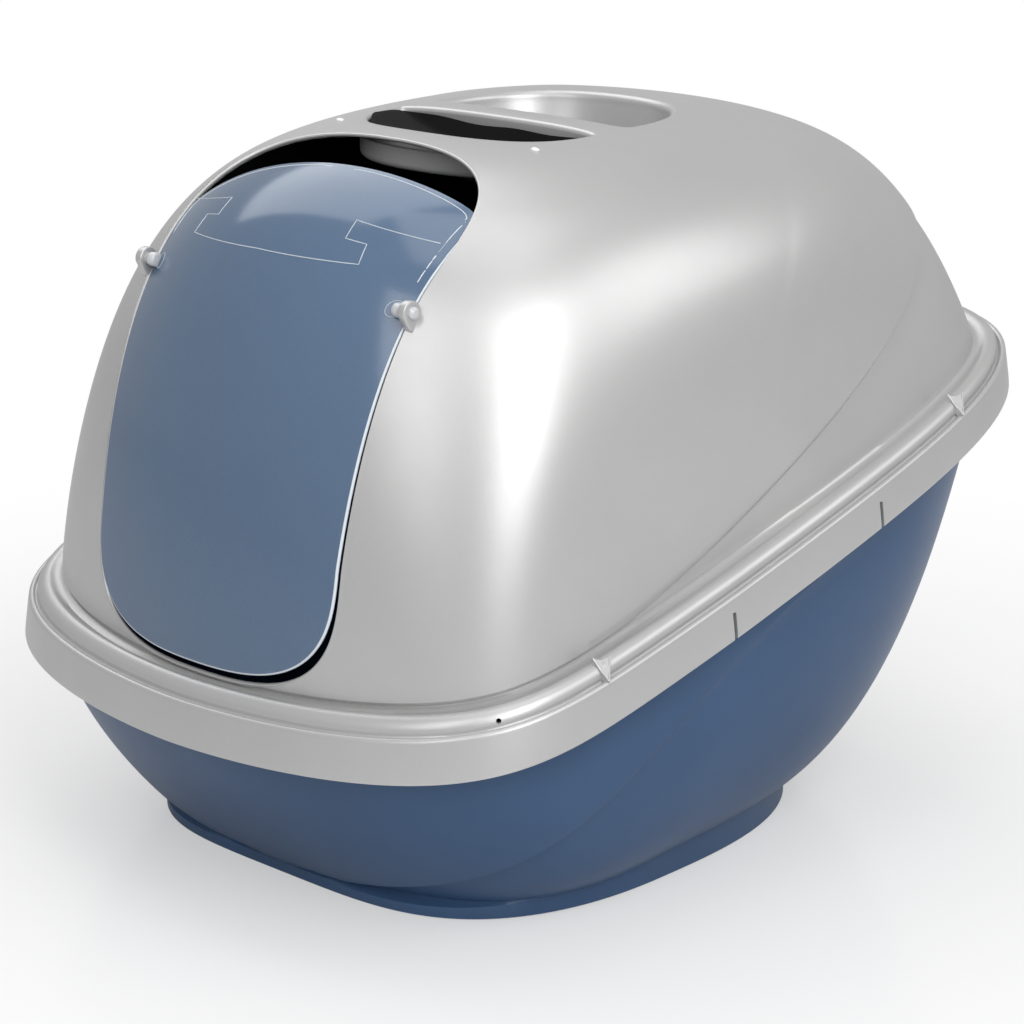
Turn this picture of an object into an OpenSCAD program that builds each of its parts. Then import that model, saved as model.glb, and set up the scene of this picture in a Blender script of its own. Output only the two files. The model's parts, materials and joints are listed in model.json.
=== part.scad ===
// Hooded cat litter box: a deep pan, a lift-off hood, a swinging see-through flap on two
// snap pins, and a carbon filter in a tray below the carry bar.
// The front faces -Y, +Z is up, and the origin is on the floor below the middle of the rim.

/* [Rim outline, seen from above] */
// Width over the skirt, on the middle line
skirt_w = 450; // [430:2:470]
// Extra half width that the skirt gains from the middle line to the back
skirt_flare = 14; // [8:1:18]
// Length of the skirt ahead of the middle line
skirt_front = 219; // [212:1:226]
// Length of the skirt behind the middle line
skirt_back = 312; // [304:1:320]
// Squareness of the front corners, along the length
front_square = 6; // [5:0.1:7]
// Bow of the front edge: 2 is an ellipse, more is straighter
front_bow = 1.8; // [1.7:0.05:2.2]
// Squareness of the back corners
back_square = 5.2; // [4.5:0.1:6]

/* [Rim height] */
// Height of the skirt's lower edge, on the middle line
rim_z = 160; // [154:1:168]
// Height of the skirt's lower edge at the very front
rim_front_z = 101; // [96:0.5:106]
// Height of the skirt's lower edge at the very back
rim_back_z = 264; // [258:1:270]
// Height of the skirt
skirt_h = 23.5; // [22:0.5:28]
// Lean of the skirt toward the hood
skirt_draft = 3; // [2:0.2:4]
// Radius of the bead that runs round the hood above the skirt
bead_r = 6.5; // [5:0.25:7.5]
// Distance of the bead's middle in from the skirt
bead_in = 14.8; // [13.5:0.1:16]
// Distance of the dome's foot in from the skirt
dome_in = 23.4; // [22:0.2:26]
// Height of the dome's foot over the skirt's lower edge
dome_lift = 33; // [31:0.5:36]

/* [Hood] */
// Height of the roof's highest point
hood_top = 416.5; // [410:0.5:424]
// Distance of the roof's highest point behind the middle line
roof_back = 119; // [110:1:128]
// Wall of the hood
hood_wall = 2.5; // [2:0.1:3]
// Width of the slits beside each snap tab
slit_w = 1.8; // [1.2:0.2:2.4]
// Height of the slits
slit_h = 15; // [12:0.5:17]
// Distance of the front slits ahead of the origin
slit_front = 50; // [44:1:56]
// Distance of the back slits behind the origin
slit_back = 73; // [67:1:79]
// Side of the small gussets between the bead and the skirt
gusset = 9; // [7:0.5:10]
// Distance of the front gussets ahead of the origin
gusset_front = 143; // [138:1:148]
// Distance of the back gussets behind the origin
gusset_back = 153; // [148:1:158]
// Diameter of the drain holes in the front corners of the rim
drain_d = 2.4; // [2:0.2:3]

/* [Recesses and carry bar] */
// Half width of both recesses
recess_w = 76; // [72:1:80]
// Length of the front recess, from the carry bar
recess_l = 66; // [62:1:70]
// Length of the hand well, from the carry bar
well_l = 84; // [78:1:88]
// Width of the carry bar, front to back
bar_w = 26; // [24:1:30]
// Depth of the carry bar's flanges, and of the collar round the front recess
collar_h = 11; // [10:0.5:13]
// Depth of the hand well below the roof
well_d = 42; // [38:1:46]
// Reach of the hand well under the carry bar
well_under = 18; // [14:1:20]

/* [Way in] */
// Half width of the way in, low down
door_w = 97.5; // [95:0.5:99]
// Extra half width at the height of the hinge
door_flare = 6; // [4:0.5:7]
// Height of the way in's lower edge
door_z = 137; // [136:0.5:140]
// Height of the lower corners' rounding
door_corner = 73; // [66:1:78]
// Distance of the way in's upper edge ahead of the origin
door_back = 90; // [84:1:94]
// Length of the upper corners' rounding
door_round = 75; // [70:1:80]

/* [Flap] */
// Thickness of the flap
flap_t = 2; // [1.6:0.1:2.4]
// Depth of the flap's face below the hood's face
flap_set = 0.8; // [0.4:0.1:1.2]
// Gap between the flap and the sides of the way in
flap_gap = 1.6; // [1.2:0.1:2.4]
// Gap below the flap
flap_gap_low = 7; // [5:0.5:9]
// Distance of the flap's upper edge ahead of the origin
flap_back = 137; // [132:1:142]
// Squareness of the flap's upper corners: 2 is an ellipse, more is squarer
flap_square = 8; // [5:0.5:10]
// Outside diameter of the flap's hinge eyes
eye_d = 8.6; // [8:0.2:10]
// Length of the flap's hinge eyes
eye_l = 6; // [5.5:0.5:8]

/* [Hinge] */
// Drop of the hinge axis below the roof's highest point
hinge_drop = 73; // [70:0.5:76]
// Distance of the hinge axis ahead of the hood's face, at the edge of the way in
hinge_proud = 4.3; // [3.5:0.1:4.5]
// Diameter of the hinge pins
pin_d = 4.8; // [4.4:0.1:5.2]
// Radial play of the flap on its pins
pin_play = 0.06; // [0.04:0.01:0.09]
// Radius of the lugs that hold the pins
lug_r = 7.5; // [7:0.25:8]
// Thickness of the lugs
lug_t = 5; // [4:0.25:6]
// Diameter of the pins' collars and knobs
pin_head = 6.8; // [6.4:0.2:7.4]

/* [Pan] */
// Wall of the pan
pan_wall = 3; // [2.6:0.1:3.4]
// Distance of the pan's wall in from the skirt
pan_in = 17; // [16:0.5:19]
// Half width of the foot
foot_w = 168; // [160:1:172]
// Reach of the foot ahead of its middle
foot_front = 144; // [138:1:148]
// Reach of the foot behind its middle
foot_back = 203; // [196:1:208]
// Distance of the foot's middle behind the middle line
foot_mid = 4; // [0:1:8]
// Height of the foot in front
foot_z_front = 4.8; // [4.4:0.2:7]
// Height of the foot at the back
foot_z_back = 25; // [20:0.5:28]
// Lean of the foot's side
foot_draft = 3; // [2:0.2:4]

/* [Filter] */
// Depth of the filter tray
tray_h = 13; // [12:0.5:16]
// Wall of the filter tray
tray_wall = 2; // [1.8:0.1:2.4]
// Height by which the tray laps over the recess collar
tray_lap = 6; // [5:0.5:7]
// Number of air slots in the tray's floor
tray_slots = 9; // [7:2:11]
// Width of the air slots
tray_slot_w = 6; // [5:0.5:7]
// Margin of the tray's floor round the air slots
tray_margin = 8; // [6:0.5:10]
// Thickness of the carbon filter
filter_t = 4; // [3:0.5:4.5]

/* [Hidden] */
$fn = 48;
// Points round each ring of the shells
ring_n = 72;
// Gap between pieces of different bodies
clear = 0.3;
// Overlap that makes a cut pass right through
past = 1;
mid_y = (skirt_front - skirt_back) / 2;
hinge_z = hood_top - hinge_drop;
door_at_hinge = door_w + door_flare;
recess_back = -bar_w / 2 + 11;
well_front = recess_back + bar_w;
roof_low = hood_top - 7;
collar_z = roof_low - collar_h;
tray_top = collar_z + tray_lap;
// Reach of the pins inside the edge of the way in; the flap's eyes are closed 1.2 mm beyond it
pin_in = flap_gap + eye_l - clear - 1.2;

function mix(a, b, t) = a + (b - a) * t;

// Distance to the curve |x|^p + |y|^q = 1 in the direction (u, v), by Newton's method.
function reach(u, v, p, q, r, left = 8) =
    left == 0 ? r : let(a = pow(r * u, p), b = pow(r * v, q))
    reach(u, v, p, q, r - r * (a + b - 1) / (p * a + q * b), left - 1);

function square_circle(a, p, q) =
    let(u = abs(cos(a)), v = abs(sin(a)), r = reach(u, v, p, q, 1 / max(u, v)))
    [r * cos(a), r * sin(a)];

// The skirt's lower edge in plan, counter-clockwise from above.
skirt_outline = [for (i = [0:ring_n - 1])
    let(a = 360 * (i + 0.5) / ring_n, back = sin(a) > 0,
        e = square_circle(a, back ? back_square : front_bow, back ? back_square : front_square))
    [e[0] * (skirt_w / 2 + skirt_flare * e[1]), mid_y + e[1] * (back ? skirt_back : skirt_front)]];

function inset(pts, d) = [for (i = [0:len(pts) - 1])
    let(n = len(pts), t = pts[(i + 1) % n] - pts[(i + n - 1) % n])
    pts[i] - d * [t[1], -t[0]] / norm(t)];

// Mean slopes of the rim ahead of and behind the middle line, and the curve through them.
front_slope = (rim_z - rim_front_z) / skirt_front;
back_slope = (rim_back_z - rim_z) / skirt_back;
rim_curve = (back_slope - front_slope) / (skirt_front + skirt_back);
function rim_h(y) =
    let(s = y - mid_y) rim_z + s * (front_slope + rim_curve * (skirt_front + s));

// A ring that follows the rim: inset from the skirt and lifted over its lower edge.
function rim_ring(in_d, lift) =
    [for (p = inset(skirt_outline, in_d)) [p[0], p[1], rim_h(p[1]) + lift]];

function arc(x, z, r, from, to, n) =
    [for (k = [0:n]) let(a = mix(from, to, k / n)) [x + r * cos(a), z + r * sin(a)]];

// Share of a half length that is left at height share t, for a wall with exponents n and m.
function swell(t, n, m) = pow(max(0, 1 - pow(t, n)), 1 / m);

// Ring of the dome at height share t, for the face that lies wall mm inside the outer face.
function dome_ring(t, wall) =
    let(base = inset(skirt_outline, dome_in + wall),
        w0 = max([for (p = base) p[0]]),
        f0 = mid_y - min([for (p = base) p[1]]),
        b0 = max([for (p = base) p[1]]) - mid_y,
        wide = w0 * swell(t, 4.9, 3.45),
        front = roof_back - (f0 + roof_back) * swell(t, 2.08, 6.2),
        back = roof_back + (b0 - roof_back) * swell(t, 1.97, 4.15),
        mid = roof_back * pow(t, 1.33))
    [for (p = base)
        let(s = p[1] - mid_y, ahead = s < 0,
            e = [p[0] / w0, s / (ahead ? f0 : b0)],
            u = mix(e, e / norm(e), pow(t, ahead ? 1.2 : 1.1)),
            z0 = rim_h(p[1]) + dome_lift - wall)
        [wide * u[0], mid_y + mid + u[1] * (ahead ? mid - front : back - mid),
         mix(z0, hood_top - wall, t)]];

function dome_rings(wall, steps = 15) =
    [for (k = [0:steps - 1]) dome_ring(sin(90 * k / steps), wall)];

function dome_pole(wall) = [0, mid_y + roof_back, hood_top - wall];

// Front face of the hood at a distance x from the middle plane and a height z.
function face_y(x, z) = lookup(z, [for (r = dome_rings(0), i = [0:ring_n - 1])
    let(a = r[i], b = r[(i + 1) % ring_n])
    if (a[1] < 0 && a[0] <= x && b[0] > x)
        let(f = (x - a[0]) / (b[0] - a[0])) [mix(a[2], b[2], f), mix(a[1], b[1], f)]]);
hinge_y = face_y(door_at_hinge, hinge_z) - hinge_proud;

// The foot's outline, grown by d, as a ring at the given front and back heights.
function foot_ring(d, z_front, z_back) =
    [for (p = inset(skirt_outline, pan_in))
        let(s = p[1] - mid_y, ahead = s < 0,
            a = atan2(s / (ahead ? skirt_front : skirt_back), p[0] / (skirt_w / 2)),
            e = square_circle(a, 2.8, 2.8),
            half = ahead ? foot_front : foot_back)
        [e[0] * (foot_w + d), mid_y + foot_mid + e[1] * (half + d),
         mix(z_front, z_back, (1 + e[1]) / 2)]];

// Ring of the pan's bowl at depth share t, for the face that lies wall mm inside the outer one.
function bowl_ring(t, wall) =
    let(rim = rim_ring(pan_in + wall, 0),
        foot = foot_ring(-wall, foot_z_front + wall, foot_z_back + wall),
        w0 = max([for (p = rim) p[0]]), w1 = foot_w - wall,
        f0 = mid_y - min([for (p = rim) p[1]]), f1 = foot_front - foot_mid - wall,
        b0 = max([for (p = rim) p[1]]) - mid_y, b1 = foot_back + foot_mid - wall,
        wide = mix(w1, w0, swell(t, 2.68, 1.33)),
        front = mix(f1, f0, swell(t, 1.25, 1)),
        back = mix(b1, b0, swell(t, 2.4, 3)))
    [for (i = [0:ring_n - 1])
        let(s = rim[i][1] - mid_y, ahead = s < 0,
            e = [rim[i][0] / w0, s / (ahead ? f0 : b0)],
            g = [foot[i][0] / w1,
                 (foot[i][1] - mid_y - foot_mid) / ((ahead ? foot_front : foot_back) - wall)],
            u = mix(e, g, pow(t, 0.82)), m = foot_mid * t)
        [wide * u[0], mid_y + m + u[1] * (ahead ? m + front : back - m),
         mix(rim[i][2], foot[i][2], t)]];

function bowl_rings(wall, steps = 12) =
    [for (k = [0:steps]) bowl_ring(sin(90 * k / steps), wall)];

// One closed skin through rings of equal length, closed at both ends by a pole.
module skin(first, rings, last) {
    n = len(rings[0]);
    m = len(rings);
    pts = concat([for (r = rings) each r], [first, last]);
    sides = [for (r = [0:m - 2], i = [0:n - 1])
        let(j = (i + 1) % n, a = r * n + i, b = r * n + j, c = a + n, d = b + n)
        each [[a, b, d], [a, d, c]]];
    caps = [for (i = [0:n - 1]) let(j = (i + 1) % n)
        each [[m * n, j, i], [m * n + 1, (m - 1) * n + i, (m - 1) * n + j]]];
    polyhedron(pts, concat(sides, caps), convexity = 8);
}

function backwards(list) = [for (i = [len(list) - 1:-1:0]) list[i]];

// Outer and inner profile of the hood's rim, as [inset, lift] from the skirt's lower edge.
ridge_r = 2;
function rim_profile() = concat([[0, 0]],
    arc(skirt_draft + ridge_r, skirt_h - ridge_r, ridge_r, 180, 90, 3),
    arc(bead_in, dome_lift - 2 - bead_r, bead_r, 180, 90, 4));
function rim_inside() = concat([[hood_wall, 0]],
    [[skirt_draft + hood_wall, skirt_h - hood_wall]],
    [[bead_in - bead_r + hood_wall, skirt_h - hood_wall]],
    arc(bead_in, dome_lift - 2 - bead_r, bead_r - hood_wall, 180, 90, 3));

module hood_shell() {
    outer = concat(backwards(dome_rings(0)),
                   [for (p = backwards(rim_profile())) rim_ring(p[0], p[1])]);
    inner = concat([for (p = rim_inside()) rim_ring(p[0], p[1])], dome_rings(hood_wall));
    skin(dome_pole(0), concat(outer, inner), dome_pole(hood_wall));
}

// The space below the dome's outer face, down to its foot.
module dome_core() {
    skin(dome_pole(0), backwards(dome_rings(0)), [0, mid_y, rim_z]);
}

// D-shaped outline with its bow toward the back and its straight side tail mm ahead of y = 0.
module d_shape(w, l, grow = 0, tail = 0, steps = 24) {
    polygon(concat(
        [for (k = [0:steps]) let(e = square_circle(180 * k / steps, 2.3, 2.3))
            [e[0] * (w + grow), e[1] * (l + grow)]],
        tail > 0 ? [[-w - grow, -tail], [w + grow, -tail]] : []));
}

module recess_shape(grow = 0, tail = 0) {
    translate([0, recess_back]) mirror([0, 1]) d_shape(recess_w, recess_l, grow, tail);
}

module well_shape(grow = 0) {
    translate([0, well_front]) d_shape(recess_w - 2, well_l, grow);
}

// Plan of the hand well with its reach under the carry bar.
module well_plan(grow = 0) {
    well_shape(grow);
    translate([-recess_w + 8 - grow, well_front - well_under - grow])
        square([2 * (recess_w - 8 + grow), well_under + 2 * grow + past]);
}

// Collar round the front recess; its straight side is the carry bar's front flange.
module recess_collar() {
    translate([0, 0, collar_z]) linear_extrude(hood_top - collar_z) difference() {
        recess_shape(hood_wall, hood_wall);
        recess_shape();
    }
}

module hand_well() {
    floor_z = hood_top - well_d;
    difference() {
        union() {
            translate([0, 0, floor_z]) linear_extrude(hood_top - floor_z) well_shape(hood_wall);
            translate([0, 0, floor_z]) linear_extrude(roof_low - 2 - floor_z) well_plan(hood_wall);
        }
        translate([0, 0, floor_z + hood_wall]) linear_extrude(well_d) well_shape();
        translate([0, 0, floor_z + hood_wall])
            linear_extrude(roof_low - 4 - floor_z - hood_wall) well_plan();
    }
}

// Lug that holds a hinge pin: round above, drawn down to a point, and rooted in the hood's wall.
module lug() {
    root = face_y(door_at_hinge + lug_t, hinge_z) - hinge_y;
    translate([door_at_hinge, hinge_y, hinge_z]) rotate([90, 0, 90]) linear_extrude(lug_t) {
        circle(lug_r);
        polygon([[-lug_r * 0.97, -lug_r * 0.25], [0, -lug_r * 1.7], [lug_r * 0.97, -lug_r * 0.25]]);
        translate([0, -lug_r]) square([root, lug_r]);
    }
}

// Bore for a hinge pin, from a distance deep inside the edge of the way in out past the lug.
module pin_bore(r, deep) {
    translate([door_at_hinge - deep, hinge_y, hinge_z]) rotate([0, 90, 0])
        cylinder(r = r, h = deep + lug_t + past);
}

// The way in, less gap at the sides and gap_low below, cut back to the upper edge.
module way_in(gap, gap_low, back, square = 3) {
    w = door_w - gap;
    low = door_z + gap_low;
    deep = door_corner - gap_low;
    top = hood_top + 20;
    wide = w + door_flare * (top - low - deep) / (hinge_z - low - deep);
    length = back - door_back;
    intersection() {
        translate([0, -door_back + 30, 0]) rotate([90, 0, 0]) linear_extrude(skirt_front + 40)
            polygon(concat(
                [for (k = [0:16]) let(e = square_circle(180 + 180 * k / 16, 3.2, 3.2))
                    [e[0] * w, low + deep + e[1] * deep]],
                [[wide, top], [-wide, top]]));
        translate([0, -door_back - door_round, 0]) linear_extrude(hood_top + 30)
            polygon(concat(
                [for (k = [0:16]) let(e = square_circle(180 * k / 16, square, square))
                    [e[0] * (door_at_hinge + 1 - gap), e[1] * (door_round - length)]],
                [[-door_at_hinge - 1 + gap, -skirt_front], [door_at_hinge + 1 - gap, -skirt_front]]));
    }
}

module at_both_sides() {
    children();
    mirror([1, 0, 0]) children();
}

// Where the skirt stands, half way across, at a distance y from the origin.
function skirt_x(y) =
    let(near = [for (p = skirt_outline) if (p[0] > 100 && abs(p[1] - y) < 14) p[0]])
    len(near) == 0 ? skirt_w / 2 : min(near);

module slit(y) {
    translate([skirt_x(y) - 12, y - slit_w / 2, rim_h(y) - 10]) cube([30, slit_w, slit_h + 10]);
}

module gusset_wedge(y) {
    translate([skirt_x(y) - bead_in, y + 0.8, rim_h(y) + skirt_h - 2]) rotate([90, 0, 0])
        linear_extrude(1.6) polygon([[0, 0], [gusset + 2, 0], [gusset + 2, 2.4], [0, gusset]]);
}

module drain(p) {
    translate([p[0], p[1], rim_h(p[1]) + 10]) cylinder(d = drain_d, h = skirt_h);
}

module hood() color([0.66, 0.66, 0.66]) difference() {
    union() {
        hood_shell();
        intersection() {
            union() {
                recess_collar();
                hand_well();
            }
            dome_core();
        }
        at_both_sides() {
            lug();
            gusset_wedge(-gusset_front);
            gusset_wedge(gusset_back);
        }
    }
    way_in(0, 0, door_back);
    translate([0, 0, collar_z - past]) linear_extrude(collar_h + 30) recess_shape();
    translate([0, 0, hood_top - 20]) linear_extrude(40) well_shape();
    at_both_sides() {
        pin_bore(pin_d / 2, eye_l);
        slit(-slit_front);
        slit(slit_back);
        drain(inset(skirt_outline, 7)[drain_i]);
    }
}
// Ring point at the front corner, on the +X side
drain_i = round(ring_n * 0.845);

module flap_door() color([0.36, 0.46, 0.60]) difference() {
    union() {
        intersection() {
            difference() {
                skin(dome_pole(flap_set), backwards(dome_rings(flap_set)), [0, mid_y, rim_z - 60]);
                skin(dome_pole(flap_set + flap_t), backwards(dome_rings(flap_set + flap_t)),
                     [0, mid_y, rim_z - 90]);
            }
            way_in(flap_gap, flap_gap_low, flap_back, flap_square);
        }
        at_both_sides() translate([door_at_hinge - flap_gap - eye_l, hinge_y, hinge_z])
            rotate([0, 90, 0]) cylinder(d = eye_d, h = eye_l);
    }
    at_both_sides() pin_bore(pin_d / 2 + pin_play, pin_in + clear);
}

// Snap pin, turned about its own axis: tip in the flap's eye, collar inside the lug, outer knob.
module hinge_pin() {
    translate([door_at_hinge, hinge_y, hinge_z]) rotate([0, 90, 0]) rotate_extrude()
        polygon(concat(
            [[0, -pin_in], [pin_d / 2 - 0.6, -pin_in], [pin_d / 2, 0.6 - pin_in]],
            [[pin_d / 2, -flap_gap + clear], [pin_head / 2, -flap_gap + clear]],
            [[pin_head / 2, 0], [pin_d / 2, 0]],
            [[pin_d / 2, lug_t], [pin_head / 2, lug_t], [pin_head / 2, lug_t + 1.6]],
            [[pin_head * 0.3, lug_t + 3], [0, lug_t + 3]]));
}

module hinge_pin_left() color([0.85, 0.87, 0.9]) mirror([1, 0, 0]) hinge_pin();

module hinge_pin_right() color([0.85, 0.87, 0.9]) hinge_pin();

// Tray that laps over the recess collar from below and holds the filter.
module filter_tray() color([0.55, 0.55, 0.55]) {
    fit = hood_wall + clear;
    low = tray_top - tray_h;
    pitch = 2 * (recess_w - tray_margin) / tray_slots;
    difference() {
        translate([0, 0, low]) linear_extrude(tray_h)
            recess_shape(fit + tray_wall, fit + tray_wall);
        translate([0, 0, low + tray_wall]) linear_extrude(tray_h) recess_shape(fit, fit);
        for (k = [0:tray_slots - 1])
            let(x = (k - (tray_slots - 1) / 2) * pitch,
                l = recess_l * sqrt(1 - pow(x / recess_w, 2)) - tray_margin)
            translate([x - tray_slot_w / 2, recess_back - l, low - past])
                cube([tray_slot_w, l - tray_margin / 2, tray_wall + 2 * past]);
    }
}

module carbon_filter() color([0.05, 0.05, 0.05])
    translate([0, 0, tray_top - tray_h + tray_wall]) linear_extrude(filter_t) recess_shape(-1);

module litter_pan() color([0.22, 0.31, 0.45]) {
    lip_in = skirt_draft + hood_wall + clear + 0.4;
    lip_top = skirt_h - hood_wall - clear;
    inner = concat([foot_ring(-foot_draft - pan_wall, pan_wall, pan_wall)],
                   backwards(bowl_rings(pan_wall)));
    lip = [for (p = [[pan_in + pan_wall, lip_top - 4], [pan_in + pan_wall - 3, lip_top],
                     [lip_in, lip_top], [lip_in, lip_top - 2.5], [pan_in - 3, lip_top - 3.5],
                     [pan_in, lip_top - 6.5]]) rim_ring(p[0], p[1])];
    outer = concat(bowl_rings(0), [foot_ring(-foot_draft, 0, 0)]);
    skin([0, mid_y + foot_mid, pan_wall], concat(inner, lip, outer), [0, mid_y + foot_mid, 0]);
}

litter_pan();
hood();
flap_door();
hinge_pin_left();
hinge_pin_right();
filter_tray();
carbon_filter();
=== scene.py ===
"""Hooded cat litter box: blue pan, pearl-grey hood, smoked flap and carbon filter, in a pale studio."""
import json
import math

import bmesh
import bpy
import numpy as np
from mathutils import Matrix, Vector
from mathutils.bvhtree import BVHTree


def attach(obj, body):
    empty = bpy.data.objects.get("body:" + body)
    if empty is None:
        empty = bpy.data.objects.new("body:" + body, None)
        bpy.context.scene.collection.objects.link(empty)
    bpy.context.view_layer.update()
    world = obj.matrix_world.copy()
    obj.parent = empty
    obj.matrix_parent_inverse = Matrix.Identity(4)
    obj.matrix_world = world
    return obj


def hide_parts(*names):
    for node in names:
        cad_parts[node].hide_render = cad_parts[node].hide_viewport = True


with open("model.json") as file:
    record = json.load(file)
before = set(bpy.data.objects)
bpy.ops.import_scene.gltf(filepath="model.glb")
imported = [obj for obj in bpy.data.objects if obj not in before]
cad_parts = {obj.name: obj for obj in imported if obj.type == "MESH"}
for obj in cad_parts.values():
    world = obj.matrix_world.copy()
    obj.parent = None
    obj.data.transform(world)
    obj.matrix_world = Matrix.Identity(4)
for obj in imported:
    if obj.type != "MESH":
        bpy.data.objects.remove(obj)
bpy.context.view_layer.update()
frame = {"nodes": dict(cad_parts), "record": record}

MM = 0.001

# Sizes in millimetres, most of them the source's. The hood's top lies a little lower than there, and
# the flap, its eyes, the lugs and the foot's front height follow the photograph more closely
SKIRT_W, SKIRT_FLARE = 450.0, 14.0
SKIRT_FRONT, SKIRT_BACK = 219.0, 312.0
RIM_Z, RIM_FRONT_Z, RIM_BACK_Z = 160.0, 101.0, 264.0
SKIRT_H, SKIRT_DRAFT = 23.5, 3.0
BEAD_R, BEAD_IN = 6.5, 14.8
DOME_IN, DOME_LIFT = 23.4, 33.0
HOOD_TOP, ROOF_BACK, HOOD_WALL = 415.9, 119.0, 2.5
RECESS_W, RECESS_L, WELL_L, BAR_W = 76.0, 66.0, 84.0, 26.0
COLLAR_H, WELL_D, WELL_UNDER = 11.0, 42.0, 18.0
DOOR_W, DOOR_FLARE, DOOR_Z, DOOR_CORNER = 97.5, 6.0, 137.0, 73.0
DOOR_BACK, DOOR_ROUND = 90.0, 75.0
FLAP_T, FLAP_SET, FLAP_GAP, FLAP_GAP_LOW, FLAP_BACK = 2.0, 0.8, 1.6, 4.5, 134.5
DOOR_SQUARE, FLAP_SQUARE, FLAP_SLANT = 3.0, 16.0, 0.12
# Squareness of the lower corners, and the flap's lean forward at rest, in degrees
DOOR_CORNER_SQUARE, FLAP_CORNER_SQUARE, FLAP_LEAN = 3.2, 3.0, 0.8
EYE_D, EYE_L, PIN_D, LUG_R, LUG_T = 8.2, 6.0, 4.8, 6.3, 5.0
PAN_WALL, PAN_IN, FOOT_W, FOOT_FRONT, FOOT_BACK = 3.0, 17.0, 168.0, 144.0, 203.0
FOOT_MID, FOOT_Z_FRONT, FOOT_Z_BACK, FOOT_DRAFT = 4.0, 7.0, 25.0, 3.0
# Squareness of the bowl's lower edge, and of the foot's front across and along
BOWL_SQUARE, FOOT_SQUARE = 2.8, (3.9, 2.25)
TRAY_H, TRAY_WALL, TRAY_LAP = 13.0, 2.0, 6.0
TRAY_SLOTS, TRAY_SLOT_W, TRAY_MARGIN = 9, 6.0, 8.0
# How far the widest line of the recess and of the well lies from the carry bar
RECESS_OFF, WELL_OFF = 4, 5

MID_Y = (SKIRT_FRONT - SKIRT_BACK) / 2
BAR_FRONT = 11.0 - BAR_W / 2
BAR_BACK = BAR_FRONT + BAR_W
# Fall of the roof's low level from the hood's top, and the height of the collar's lower edge
ROOF_FALL = 6.5
COLLAR_Z = HOOD_TOP - ROOF_FALL - COLLAR_H
JOINTS = {joint["name"]: joint for joint in frame["record"]["behaviour"]["joints"]}
HINGE = np.array(JOINTS["flap_swing"]["pos_m"]) / MM
HINGE_X = DOOR_W + DOOR_FLARE

# Squareness of the skirt behind its widest line, and across and along ahead of it
SKIRT_SQUARE, SKIRT_FRONT_SQUARE = 5.2, (1.8, 6.0)
# Exponents of the half lengths over the height: across, to the front and to the back
DOME_WIDE, DOME_FRONT, DOME_BACK = (4.9, 3.45), (2.08, 6.2), (1.97, 4.15)
BOWL_WIDE, BOWL_FRONT, BOWL_BACK = (2.68, 1.33), (1.35, 1.05), (2.4, 3.0)
# The hood's step: its depth, its height at the dome's foot, and its rise towards the back
STEP_DEEP, STEP_LOW, STEP_START, STEP_RISE = 2.0, 0.004, -138.0, 0.066
# Depth shares in which the step and the crease fade out away from their edges
STEP_FADE, CREASE_FADE = 0.171, 0.3
# Dip of the dome's foot at the middle of the front, its half width, and where it fades in
FRONT_DIP, DIP_WIDE, DIP_FROM, DIP_FULL = 4.2, 185.0, 100, 160
# The pan's crease: its depth and its height share at the rim
CREASE_DEEP, CREASE_HIGH = 3.0, 0.085
# The rim's bead: the height of its middle over the skirt's lower edge
BEAD_Z = DOME_LIFT - 2 - BEAD_R
# Webs and slits on the rim, by their distance behind the origin
WEB_Y, WEB_LONG = (-143.0, 153.0), 9.0
SLIT_Y, SLIT_SIZE = (-50.0, 73.0), (16, 2.5, 26)
# Drain hole in the bead and white nub on the roof, on the right side
DRAIN_PLACE, DRAIN_R, DRAIN_L, DRAIN_TURN = (189.4, -200.4, 143.3), 1.4, 7, 41
NUB_PLACE, NUB_SIZE = (78, -54), (3.0, 1.6, 1.3)
# How far the hood's cut runs past the door's edge, below the rolled bead
DOOR_EASE = 1.2
# Line etched on the flap, as (x, z), and the rings round its eyes
ETCHED_LINE = [(-100, 374), (-50, 383), (-51, 374.5), (-64, 372.5), (-66, 363), (0, 364.5),
               (66, 363), (64, 372.5), (51, 374.5), (50, 383), (100, 374)]
RING_X, RING_R = 94, 4

# Points round each ring of the shells
N = 360
ANGLE = 2 * np.pi * (np.arange(N) + 0.5) / N
# Angle ahead of (-) or behind (+) the widest line, the same on both sides
SIDE = np.degrees(np.arctan2(np.sin(ANGLE), np.abs(np.cos(ANGLE))))


def square_circle(a, p, q):
    """Points of |x|^p + |y|^q = 1 in the directions a, by Newton's method."""
    u, v = np.abs(np.cos(a)), np.abs(np.sin(a))
    r = 1 / np.maximum(u, v)
    for _ in range(12):
        x, y = (r * u) ** p, (r * v) ** q
        r = r - r * (x + y - 1) / (p * x + q * y)
    return np.stack([r * np.cos(a), r * np.sin(a)], axis=-1)


def smooth(x, low, high):
    """0 below low, 1 above high, and a smooth rise between them."""
    t = np.clip((np.asarray(x, float) - low) / (high - low), 0, 1)
    return t * t * (3 - 2 * t)


def skirt_outline():
    """The skirt's lower edge in plan, counter-clockwise from above."""
    back = np.sin(ANGLE) > 0
    across, along = [np.where(back, SKIRT_SQUARE, square) for square in SKIRT_FRONT_SQUARE]
    e = square_circle(ANGLE, across, along)
    reach = np.where(back, SKIRT_BACK, SKIRT_FRONT)
    return np.stack([e[:, 0] * (SKIRT_W / 2 + SKIRT_FLARE * e[:, 1]), MID_Y + e[:, 1] * reach], axis=-1)


OUTLINE = skirt_outline()


def inset(points, d):
    """A closed plan outline moved inwards by d."""
    t = np.roll(points, -1, 0) - np.roll(points, 1, 0)
    n = np.stack([t[:, 1], -t[:, 0]], axis=-1) / np.linalg.norm(t, axis=1, keepdims=True)
    return points - n * np.reshape(d, (-1, 1))


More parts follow.
